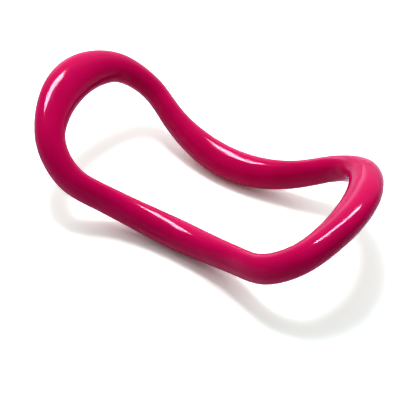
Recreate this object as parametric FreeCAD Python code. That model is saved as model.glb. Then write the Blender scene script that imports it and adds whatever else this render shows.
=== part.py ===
import FreeCAD, Part

import math
import os

# A closed stretch ring for yoga and pilates: a waisted loop of oval tube whose two ends sweep up
# like a saddle. It is hollow, moulded as an upper and a lower half shell. The shells meet on a
# tongue and groove along the outer and the inner side of the tube, and are welded there.
# Frame: X along the ring, Y across it, Z up, origin on the floor under the middle. Millimetres.

# The tube's centreline seen from above. An end arc, a corner arc and a waist arc, each tangent to
# the next, make a quarter of the loop, which is mirrored about X and Y.
HALF_LENGTH = 105.5
WAIST_HALF_WIDTH = 37.4
END_RADIUS = 78.5
CORNER_RADIUS = 28.8
WAIST_RADIUS = 166.0

# The centreline seen from the side: a parabola, lowest at the middle of the side bars.
END_RISE = 51.0

# The oval of the tube. Its width lies in the saddle, its thickness square to that. It changes from
# the end grips over the shoulders half way to the side bars, and rolls by some degrees, plus with
# its outer side up: at the grips it lies flat, at the bars it stands and leans out of the loop.
GRIP_WIDTH = 28.2
SHOULDER_WIDTH = 15.2
BAR_WIDTH = 19.8
GRIP_THICKNESS = 19.0
SHOULDER_THICKNESS = 20.2
BAR_THICKNESS = 23.2
GRIP_ROLL = 0.0
SHOULDER_ROLL = 14.0
BAR_ROLL = -13.0

# The shells' wall, and the tongue and the weld bead that share the groove in it.
WALL = 3.0
TONGUE_WIDTH = 1.0
TONGUE_HEIGHT = 1.5
TONGUE_CLEARANCE = 0.1
BEAD_HEIGHT = 0.5

# How many sections of the tube its surfaces are drawn through, in a quarter of the loop.
QUARTER_STATIONS = 16

# The side of the tube that faces out of the loop or into it, and the shell above or below the seam.
OUTER, INNER = 1, -1
ABOVE, BELOW = 1, -1

# Rails of a flat band, and of a band with the section of a quarter oval.
FLAT_WEIGHTS = [1, 1]
OVAL_WEIGHTS = [1, math.sqrt(0.5), 1]


def polar(centre, radius, angle):
    """The point of a circle at an angle, seen from above."""
    return centre + FreeCAD.Vector(math.cos(angle), math.sin(angle), 0) * radius


def heading(start, end):
    """The angle of the line from one point to another, seen from above."""
    return math.atan2(end.y - start.y, end.x - start.x)


def corner_centre(end_centre, waist_centre):
    """The corner arc runs inside the circle of the end arc and outside that of the waist arc."""
    to_end = END_RADIUS - CORNER_RADIUS
    to_waist = WAIST_RADIUS + CORNER_RADIUS
    line = waist_centre - end_centre
    along = (to_end**2 - to_waist**2 + line.Length**2) / (2 * line.Length)
    aside = math.sqrt(to_end**2 - along**2)
    line.normalize()
    return end_centre + line * along + FreeCAD.Vector(line.y, -line.x, 0) * aside


def plan_point(share):
    """A point of the first quarter of the centreline from above, and the angle of its tangent.

    share goes from 0 at the tip of the end to 1 at the middle of the side bar."""
    end_centre = FreeCAD.Vector(HALF_LENGTH - END_RADIUS, 0, 0)
    waist_centre = FreeCAD.Vector(0, WAIST_HALF_WIDTH + WAIST_RADIUS, 0)
    middle = corner_centre(end_centre, waist_centre)
    corner_start = heading(end_centre, middle)
    corner_stop = heading(middle, waist_centre)
    waist_start = heading(waist_centre, middle)
    end_length = END_RADIUS * corner_start
    corner_length = CORNER_RADIUS * (corner_stop - corner_start)
    waist_length = WAIST_RADIUS * (waist_start + math.pi / 2)
    distance = share * (end_length + corner_length + waist_length)
    if distance <= end_length:
        angle = distance / END_RADIUS
        return polar(end_centre, END_RADIUS, angle), angle + math.pi / 2
    distance -= end_length
    if distance <= corner_length:
        angle = corner_start + distance / CORNER_RADIUS
        return polar(middle, CORNER_RADIUS, angle), angle + math.pi / 2
    distance -= corner_length
    angle = waist_start - distance / WAIST_RADIUS
    return polar(waist_centre, WAIST_RADIUS, angle), angle - math.pi / 2


def swept(share, grip, shoulder, bar):
    """A value that goes smoothly from the end grip over the shoulder half way to the side bar."""
    mean = (grip + bar) / 2
    swing = (grip - bar) / 2
    pinch = (mean - shoulder) / 2
    turn = share * math.pi
    return mean - pinch + swing * math.cos(turn) + pinch * math.cos(2 * turn)


def bar_half_height():
    """How high the middle of a side bar's oval, leaning over, stands above the floor."""
    roll = math.radians(BAR_ROLL)
    return math.hypot(BAR_WIDTH * math.sin(roll), BAR_THICKNESS * math.cos(roll)) / 2


class Station:
    """A section of the tube, square to its centreline, with the directions its shells are drawn in.

    The shells part where the tube is widest seen from above, so that each leaves its mould straight.
    outward points from the centre to that line on the outer side of the loop, and reach is how far
    it is. upright points straight up to the crown of the oval, and height is how far that is."""

    def __init__(self, share, mirror_x, mirror_y):
        point, angle = plan_point(share)
        x = point.x * mirror_x
        slope = 2 * END_RISE * x / HALF_LENGTH**2
        lift = bar_half_height() + END_RISE * (x / HALF_LENGTH) ** 2
        self.centre = FreeCAD.Vector(x, point.y * mirror_y, lift)
        run = math.cos(angle) * mirror_y
        tangent = FreeCAD.Vector(run, math.sin(angle) * mirror_x, slope * run).normalize()
        across = tangent.cross(FreeCAD.Vector(-slope, 0, 1)).normalize()
        through = across.cross(tangent)
        roll = math.radians(swept(share, GRIP_ROLL, SHOULDER_ROLL, BAR_ROLL))
        half_width = swept(share, GRIP_WIDTH, SHOULDER_WIDTH, BAR_WIDTH) / 2
        half_thickness = swept(share, GRIP_THICKNESS, SHOULDER_THICKNESS, BAR_THICKNESS) / 2
        wide = (across * math.cos(roll) + through * math.sin(roll)) * half_width
        thick = (through * math.cos(roll) - across * math.sin(roll)) * half_thickness
        self.set_directions(tangent, wide, thick)

    def set_directions(self, tangent, wide, thick):
        """From the half axes of the oval, its upright half diameter and the one conjugate to that."""
        vertical = FreeCAD.Vector(0, 0, 1)
        self.upright = (vertical - tangent * vertical.dot(tangent)).normalize()
        along_wide = self.upright.dot(wide) / wide.dot(wide)
        along_thick = self.upright.dot(thick) / thick.dot(thick)
        self.height = 1 / math.hypot(along_wide, along_thick)
        widest = (wide * along_thick - thick * along_wide) * self.height
        self.reach = widest.Length
        self.outward = widest / self.reach

    def point(self, out, up):
        """The point of the section that far out from its centre and up from the seam."""
        return self.centre + self.outward * out + self.upright * up


def loop_stations():
    """The stations once round the loop, from the tip of the +X end towards the +Y side bar."""
    stations = []
    for mirror_x, mirror_y in ((1, 1), (-1, 1), (-1, -1), (1, -1)):
        for step in range(QUARTER_STATIONS):
            share = step / QUARTER_STATIONS
            if mirror_x != mirror_y:
                share = 1 - share
            stations.append(Station(share, mirror_x, mirror_y))
    return stations


def closed_curve(points):
    """A smooth closed curve through one point of each station."""
    curve = Part.BSplineCurve()
    curve.interpolate(Points=points, PeriodicFlag=True, Parameters=range(len(points) + 1))
    return curve


def band(rails, weights):
    """A face all round the loop, over two rails or, as a quarter oval, three."""
    curves = [closed_curve(rail) for rail in rails]
    loop = curves[0]
    degree = len(curves) - 1
    poles = [curve.getPoles() for curve in curves]
    pole_weights = [[weight] * loop.NbPoles for weight in weights]
    end_mults = [degree + 1, degree + 1]
    surface = Part.BSplineSurface()
    surface.buildFromPolesMultsKnots(
        poles, end_mults, loop.getMultiplicities(), [0, 1], loop.getKnots(),
        False, True, degree, loop.Degree, pole_weights,
    )
    return surface.toShape()


def skin(stations, side, half, depth):
    """One side of a shell's surface from the seam to the crown, so deep below the tube's outside."""
    seam = [station.point(side * (station.reach - depth), 0) for station in stations]
    corner = [
        station.point(side * (station.reach - depth), half * (station.height - depth))
        for station in stations
    ]
    crown = [station.point(0, half * (station.height - depth)) for station in stations]
    return band([seam, corner, crown], OVAL_WEIGHTS)


def rim(stations, side, profile):
    """Flat bands along the seam, over a profile of depths below the outside and heights."""
    rails = [
        [station.point(side * (station.reach - depth), height) for station in stations]
        for depth, height in profile
    ]
    return [band(pair, FLAT_WEIGHTS) for pair in zip(rails, rails[1:])]


def solid_of(faces):
    """The solid that closed faces hold between them."""
    shell = Part.Shell(faces)
    shell.sewShape()
    return Part.Solid(shell)


def half_shell(stations, half, profile):
    """One of the two moulded halves of the tube, with the profile of its seam on both sides."""
    faces = []
    for side in (OUTER, INNER):
        faces.append(skin(stations, side, half, 0))
        faces.append(skin(stations, side, half, WALL))
        faces += rim(stations, side, profile)
    return solid_of(faces)


def build():
    """Every piece of the ring by name."""
    stations = loop_stations()
    groove_width = TONGUE_WIDTH + 2 * TONGUE_CLEARANCE
    groove_depth = TONGUE_HEIGHT + BEAD_HEIGHT
    groove_start = (WALL - groove_width) / 2
    groove_stop = groove_start + groove_width
    tongue_start = groove_start + TONGUE_CLEARANCE
    tongue_stop = tongue_start + TONGUE_WIDTH
    groove_profile = [
        (0, 0),
        (groove_start, 0),
        (groove_start, groove_depth),
        (groove_stop, groove_depth),
        (groove_stop, 0),
        (WALL, 0),
    ]
    tongue_profile = [
        (0, 0),
        (tongue_start, 0),
        (tongue_start, TONGUE_HEIGHT),
        (tongue_stop, TONGUE_HEIGHT),
        (tongue_stop, 0),
        (WALL, 0),
    ]
    bead_profile = [
        (groove_start, TONGUE_HEIGHT),
        (groove_stop, TONGUE_HEIGHT),
        (groove_stop, groove_depth),
        (groove_start, groove_depth),
        (groove_start, TONGUE_HEIGHT),
    ]
    return {
        "upper_shell": half_shell(stations, ABOVE, groove_profile),
        "lower_shell": half_shell(stations, BELOW, tongue_profile),
        "outer_weld_bead": solid_of(rim(stations, OUTER, bead_profile)),
        "inner_weld_bead": solid_of(rim(stations, INNER, bead_profile)),
    }


def main():
    os.makedirs("parts", exist_ok=True)
    for name, solid in build().items():
        solid.exportStep(f"parts/{name}.step")


main()
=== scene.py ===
import math

import bpy
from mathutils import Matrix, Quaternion, Vector

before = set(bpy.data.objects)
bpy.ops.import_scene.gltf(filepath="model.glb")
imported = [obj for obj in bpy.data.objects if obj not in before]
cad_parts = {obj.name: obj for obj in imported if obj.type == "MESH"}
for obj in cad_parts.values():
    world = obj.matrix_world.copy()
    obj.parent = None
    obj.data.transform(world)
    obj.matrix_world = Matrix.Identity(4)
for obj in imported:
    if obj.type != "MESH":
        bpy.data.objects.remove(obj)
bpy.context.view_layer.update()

# A glossy stretch ring on a white studio floor. The CAD nodes are what is seen: this script gives them
# their plastic, and adds the floor, the lamps, the room and the camera.
# Lengths are in metres and angles in degrees. Azimuths turn from +Y towards +X, elevations rise from the
# floor. Colours are linear.

WHITE = (1.0, 1.0, 1.0, 1.0)

# The camera: the point it looks at, where it stands seen from there, and its roll about its own view.
CAMERA_AIM = Vector((0.0, 0.0, 0.01152))
CAMERA_AZIMUTH = 153.34
CAMERA_ELEVATION = 47.43
CAMERA_DISTANCE = 0.8661
CAMERA_ROLL = 4.32
# How far it then moves to its right and up, which moves the ring in the picture.
CAMERA_RIGHT = -0.00175
CAMERA_RAISE = -0.00164
CAMERA_LENS_MM = 116.31
SENSOR_WIDTH_MM = 36.0

# The plastic where its pigment lies dense and where it is clearer, in the shells and in the weld, and
# where it is scuffed.
SHELL_DEEP = (0.56, 0.0008, 0.078, 1.0)
SHELL_CLEAR = (0.64, 0.0012, 0.093, 1.0)
WELD_DEEP = (0.46, 0.0008, 0.058, 1.0)
WELD_CLEAR = (0.56, 0.0012, 0.074, 1.0)
SCUFF_COLOUR = (0.66, 0.05, 0.16, 1.0)

# The gloss: a low index and a tint keep the plastic's colour deep beside white highlights.
PLASTIC_IOR = 1.22
GLOSS_TINT = (1.0, 0.35, 0.50, 1.0)
# How rough the shells and the weld are where they shine most and where they are smudged, and a scuff.
SHELL_ROUGHNESS = (0.085, 0.12)
WELD_ROUGHNESS = (0.25, 0.40)
SCUFF_ROUGHNESS = 0.45

# The noises that make the plastic's clouds of pigment, mould waves, smudges, scratches and orange peel:
# the width of their blots, and how much finer noise lies over them.
PIGMENT = {"size": 0.028, "detail": 3.0}
WAVE = {"size": 0.016, "detail": 0.0}
SMUDGE = {"size": 0.011, "detail": 4.0}
SCRATCH = {"size": 0.0008, "detail": 2.0}
PEEL = {"size": 0.0011, "detail": 2.0}
# Between which levels of its noise the plastic turns from dense to clear, clean to smudged, or smooth to
# scratched.
PIGMENT_RANGE = (0.3, 0.7)
SMUDGE_RANGE = (0.4, 0.7)
SCRATCH_RANGE = (0.45, 0.6)
# How many times longer than wide the scratches are along X, and how far up from the floor they reach.
SCRATCH_STRETCH = 10.0
SCUFF_HEIGHT = 0.0022
# How deep the waves are, and the peel as a share of that.
SHELL_WAVE_DEPTH = 0.00022
WELD_WAVE_DEPTH = 0.0006
PEEL_SHARE = 0.007

# The floor, big enough to reach the horizon in low views: its colour as the camera sees it, overexposed
# so that only the deep of a shadow shows, as the gloss mirrors it, and as it lights the ring.
FLOOR_SIZE = 30.0
FLOOR_SEEN = (1.53, 1.67, 1.61, 1.0)
FLOOR_MIRRORED = (0.88, 0.68, 1.0, 1.0)
FLOOR_BOUNCE = (0.55, 0.55, 0.55, 1.0)
# How far from the middle the camera begins to see it fade, and where it is plain white.
FADE_START = 0.5
FADE_STOP = 1.5

# The lamps hang over the back left of the picture and face down. The key casts the crisp shadow and the
# soft light the wide one; each lights the floor under the ring to a level, at 1 so that white is white.
KEY_PLACE = (-0.435, 0.292, 1.59)
KEY_WIDTH = 0.40
KEY_LEVEL = 0.43
SOFT_PLACE = (-0.50, 0.45, 1.59)
SOFT_WIDTH = 2.20
SOFT_LEVEL = 0.37
# The long box under them, turned from X, makes the highlights and nothing else.
BOX_PLACE = (-0.444, 0.378, 1.50)
BOX_LENGTH = 1.30
BOX_WIDTH = 0.38
BOX_TURN = 58.0
BOX_RADIANCE = 155.0

# The room: its colour as the gloss mirrors it, and its levels on the dim side and on the bright one,
# which lies at an azimuth and an elevation. Where it lights the ring and the floor, it is white.
ROOM_MIRRORED = (1.05, 0.82, 1.16, 1.0)
ROOM_FAR = 0.035
ROOM_NEAR = 0.41
ROOM_AZIMUTH = -60.0
ROOM_ELEVATION = 15.0
# What glows in it: the level, azimuth and elevation, and how far from there it is still full, and gone.
GLOWS = {
    "wall": (0.85, -22.0, 17.0, 38.0, 58.0),
    "window": (2.2, -50.0, 1.0, 8.0, 18.0),
}


def direction(azimuth, elevation):
    """The unit vector towards an azimuth and an elevation."""
    turn = math.radians(azimuth)
    rise = math.radians(elevation)
    return Vector((math.sin(turn) * math.cos(rise), math.cos(turn) * math.cos(rise), math.sin(rise)))


def add_object(name, data):
    """A new object in the scene."""
    new_object = bpy.data.objects.new(name, data)
    bpy.context.scene.collection.objects.link(new_object)
    return new_object


class Graph:
    """A node tree that is built by short calls."""

    def __init__(self, tree):
        self.tree = tree

    def node(self, kind, inputs=None, **settings):
        """A new node; inputs are values, or sockets of other nodes to link from."""
        new_node = self.tree.nodes.new(kind)
        for name, value in settings.items():
            setattr(new_node, name, value)
        for name, value in (inputs or {}).items():
            if isinstance(value, bpy.types.NodeSocket):
                self.link(value, new_node.inputs[name])
            else:
                new_node.inputs[name].default_value = value
        return new_node

    def link(self, source, target):
        """A link from one socket to another."""
        self.tree.links.new(source, target)

    def noise(self, place, size, detail):
        """Soft noise from 0 to 1 with blots of a size."""
        inputs = {"Vector": place, "Scale": 1 / size, "Detail": detail}
        return self.node("ShaderNodeTexNoise", inputs).outputs["Fac"]

    def math(self, operation, first, second):
        """A sum, a product or the like of two values."""
        return self.node("ShaderNodeMath", {0: first, 1: second}, operation=operation).outputs["Value"]

    def ramp(self, value, start, stop, first, last):
        """A value that goes smoothly from first to last while another goes from start to stop."""
        inputs = {"Value": value, "From Min": start, "From Max": stop, "To Min": first, "To Max": last}
        smooth = self.node("ShaderNodeMapRange", inputs, interpolation_type="SMOOTHSTEP")
        return smooth.outputs["Result"]

    def mix(self, share, first, last):
        """A colour between two."""
        inputs = {"Fac": share, "Color1": first, "Color2": last}
        return self.node("ShaderNodeMixRGB", inputs).outputs["Color"]

    def seen(self):
        """1 where the camera looks at this itself, and 0 otherwise."""
        return self.node("ShaderNodeLightPath").outputs["Is Camera Ray"]

    def mirrored(self):
        """1 where gloss or glass shows this, and 0 otherwise."""
        ray = self.node("ShaderNodeLightPath").outputs
        return self.math("MAXIMUM", ray["Is Glossy Ray"], ray["Is Transmission Ray"])


def new_material(name):
    """A material with its graph and its Principled shader."""
    material = bpy.data.materials.new(name)
    material.use_nodes = True
    return material, Graph(material.node_tree), material.node_tree.nodes["Principled BSDF"]


def scuffs(graph, place):
    """How scuffed the plastic is: in fine scratches, and only where the ring stands on the floor."""
    height = graph.node("ShaderNodeSeparateXYZ", {"Vector": place}).outputs["Z"]
    low_down = graph.ramp(height, 0.0, SCUFF_HEIGHT, 1.0, 0.0)
    squeeze = (1 / SCRATCH_STRETCH, 1.0, 1.0)
    drawn_out = graph.node("ShaderNodeVectorMath", {0: place, 1: squeeze}, operation="MULTIPLY")
    scratches = graph.noise(drawn_out.outputs["Vector"], **SCRATCH)
    return graph.math("MULTIPLY", low_down, graph.ramp(scratches, *SCRATCH_RANGE, 0.0, 1.0))


def moulded_plastic(name, deep, clear, roughness, wave_depth):
    """Plastic coloured through, with clouded pigment, mould waves, orange peel, smudges and scuffs."""
    material, graph, shader = new_material(name)
    place = graph.node("ShaderNodeTexCoord").outputs["Object"]
    worn = scuffs(graph, place)

    clearness = graph.ramp(graph.noise(place, **PIGMENT), *PIGMENT_RANGE, 0.0, 1.0)
    colour = graph.mix(worn, graph.mix(clearness, deep, clear), SCUFF_COLOUR)
    graph.link(colour, shader.inputs["Base Color"])

    smudged = graph.ramp(graph.noise(place, **SMUDGE), *SMUDGE_RANGE, *roughness)
    rough = graph.math("MAXIMUM", smudged, graph.math("MULTIPLY", worn, SCUFF_ROUGHNESS))
    graph.link(rough, shader.inputs["Roughness"])

    peel = graph.math("MULTIPLY", graph.noise(place, **PEEL), PEEL_SHARE)
    relief = graph.math("ADD", graph.noise(place, **WAVE), peel)
    bump = graph.node("ShaderNodeBump", {"Height": relief, "Distance": wave_depth})
    graph.link(bump.outputs["Normal"], shader.inputs["Normal"])

    shader.inputs["IOR"].default_value = PLASTIC_IOR
    shader.inputs["Specular Tint"].default_value = GLOSS_TINT
    return material


def floor_paper():
    """Matt paper that the camera sees as white, and that sends only part of its light up to the ring."""
    material, graph, shader = new_material("floor_paper")
    seen = graph.seen()
    unseen_colour = graph.mix(graph.mirrored(), FLOOR_BOUNCE, FLOOR_MIRRORED)
    graph.link(graph.mix(seen, unseen_colour, FLOOR_SEEN), shader.inputs["Base Color"])

    place = graph.node("ShaderNodeTexCoord").outputs["Object"]
    distance = graph.node("ShaderNodeVectorMath", {0: place}, operation="LENGTH").outputs["Value"]
    fade = graph.ramp(distance, FADE_START, FADE_STOP, 0.0, 1.0)
    graph.link(graph.math("MULTIPLY", seen, fade), shader.inputs["Emission Strength"])
    shader.inputs["Emission Color"].default_value = WHITE

    shader.inputs["Roughness"].default_value = 1.0
    shader.inputs["Specular IOR Level"].default_value = 0.0
    return material


def add_floor():
    """One square under the ring, which isn't a piece of the part."""
    half = FLOOR_SIZE / 2
    corners = [(-half, -half, 0), (half, -half, 0), (half, half, 0), (-half, half, 0)]
    mesh = bpy.data.meshes.new("floor")
    mesh.from_pydata(corners, [], [(0, 1, 2, 3)])
    mesh.materials.append(floor_paper())
    add_object("floor", mesh)


def add_lamp(name, place, length, width, radiance):
    """An area light that faces down; its power follows from how bright its face is."""
    data = bpy.data.lights.new(name, "AREA")
    data.shape = "RECTANGLE"
    data.size = length
    data.size_y = width
    data.energy = radiance * math.pi * length * width
    lamp = add_object(name, data)
    lamp.location = place
    return lamp


def add_hidden_lamp(name, place, width, level):
    """A square lamp that lights the floor under the ring to a level and doesn't show in the gloss."""
    radiance = level * math.pi * Vector(place).length ** 4 / (place[2] * width) ** 2
    lamp = add_lamp(name, place, width, width, radiance)
    lamp.visible_glossy = False


def add_lamps():
    """The key, the soft light, and the box that only shows in the gloss."""
    add_hidden_lamp("key", KEY_PLACE, KEY_WIDTH, KEY_LEVEL)
    add_hidden_lamp("soft", SOFT_PLACE, SOFT_WIDTH, SOFT_LEVEL)
    box = add_lamp("box", BOX_PLACE, BOX_LENGTH, BOX_WIDTH, BOX_RADIANCE)
    box.rotation_euler.z = math.radians(BOX_TURN)
    box.visible_diffuse = False


def add_room():
    """The world: a dim room that gets brighter towards one side, with a pale wall and a window in it."""
    world = bpy.data.worlds.new("room")
    bpy.context.scene.world = world
    world.use_nodes = True
    graph = Graph(world.node_tree)
    towards = graph.node("ShaderNodeTexCoord").outputs["Generated"]

    def facing(azimuth, elevation):
        """The cosine of the angle to a direction."""
        inputs = {0: towards, 1: direction(azimuth, elevation)}
        return graph.node("ShaderNodeVectorMath", inputs, operation="DOT_PRODUCT").outputs["Value"]

    level = graph.ramp(facing(ROOM_AZIMUTH, ROOM_ELEVATION), -1.0, 1.0, ROOM_FAR, ROOM_NEAR)
    for strength, azimuth, elevation, full, gone in GLOWS.values():
        edge = (math.cos(math.radians(gone)), math.cos(math.radians(full)))
        glow = graph.ramp(facing(azimuth, elevation), *edge, 0.0, strength)
        level = graph.math("ADD", level, glow)
    background = world.node_tree.nodes["Background"]
    graph.link(graph.mix(graph.mirrored(), WHITE, ROOM_MIRRORED), background.inputs["Color"])
    graph.link(level, background.inputs["Strength"])


def add_camera():
    """The camera of the scene, aimed first, then rolled and moved in its own picture plane."""
    data = bpy.data.cameras.new("camera")
    data.lens = CAMERA_LENS_MM
    data.sensor_width = SENSOR_WIDTH_MM
    camera = add_object("camera", data)
    back = direction(CAMERA_AZIMUTH, CAMERA_ELEVATION)
    aimed = (-back).to_track_quat("-Z", "Y")
    rolled = aimed @ Quaternion((0, 0, 1), math.radians(CAMERA_ROLL))
    camera.rotation_mode = "QUATERNION"
    camera.rotation_quaternion = rolled
    camera.location = CAMERA_AIM + rolled @ Vector((CAMERA_RIGHT, CAMERA_RAISE, CAMERA_DISTANCE))
    bpy.context.scene.camera = camera


def dress(node_name, material):
    """Give a CAD node its material."""
    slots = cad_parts[node_name].data.materials
    slots.clear()
    slots.append(material)


bpy.context.scene.view_settings.view_transform = "Standard"
shell_plastic = moulded_plastic("shell_plastic", SHELL_DEEP, SHELL_CLEAR, SHELL_ROUGHNESS, SHELL_WAVE_DEPTH)
weld_plastic = moulded_plastic("weld_plastic", WELD_DEEP, WELD_CLEAR, WELD_ROUGHNESS, WELD_WAVE_DEPTH)
for shell in ("upper_shell", "lower_shell"):
    dress(shell, shell_plastic)
for bead in ("outer_weld_bead", "inner_weld_bead"):
    dress(bead, weld_plastic)
add_floor()
add_room()
add_lamps()
add_camera()
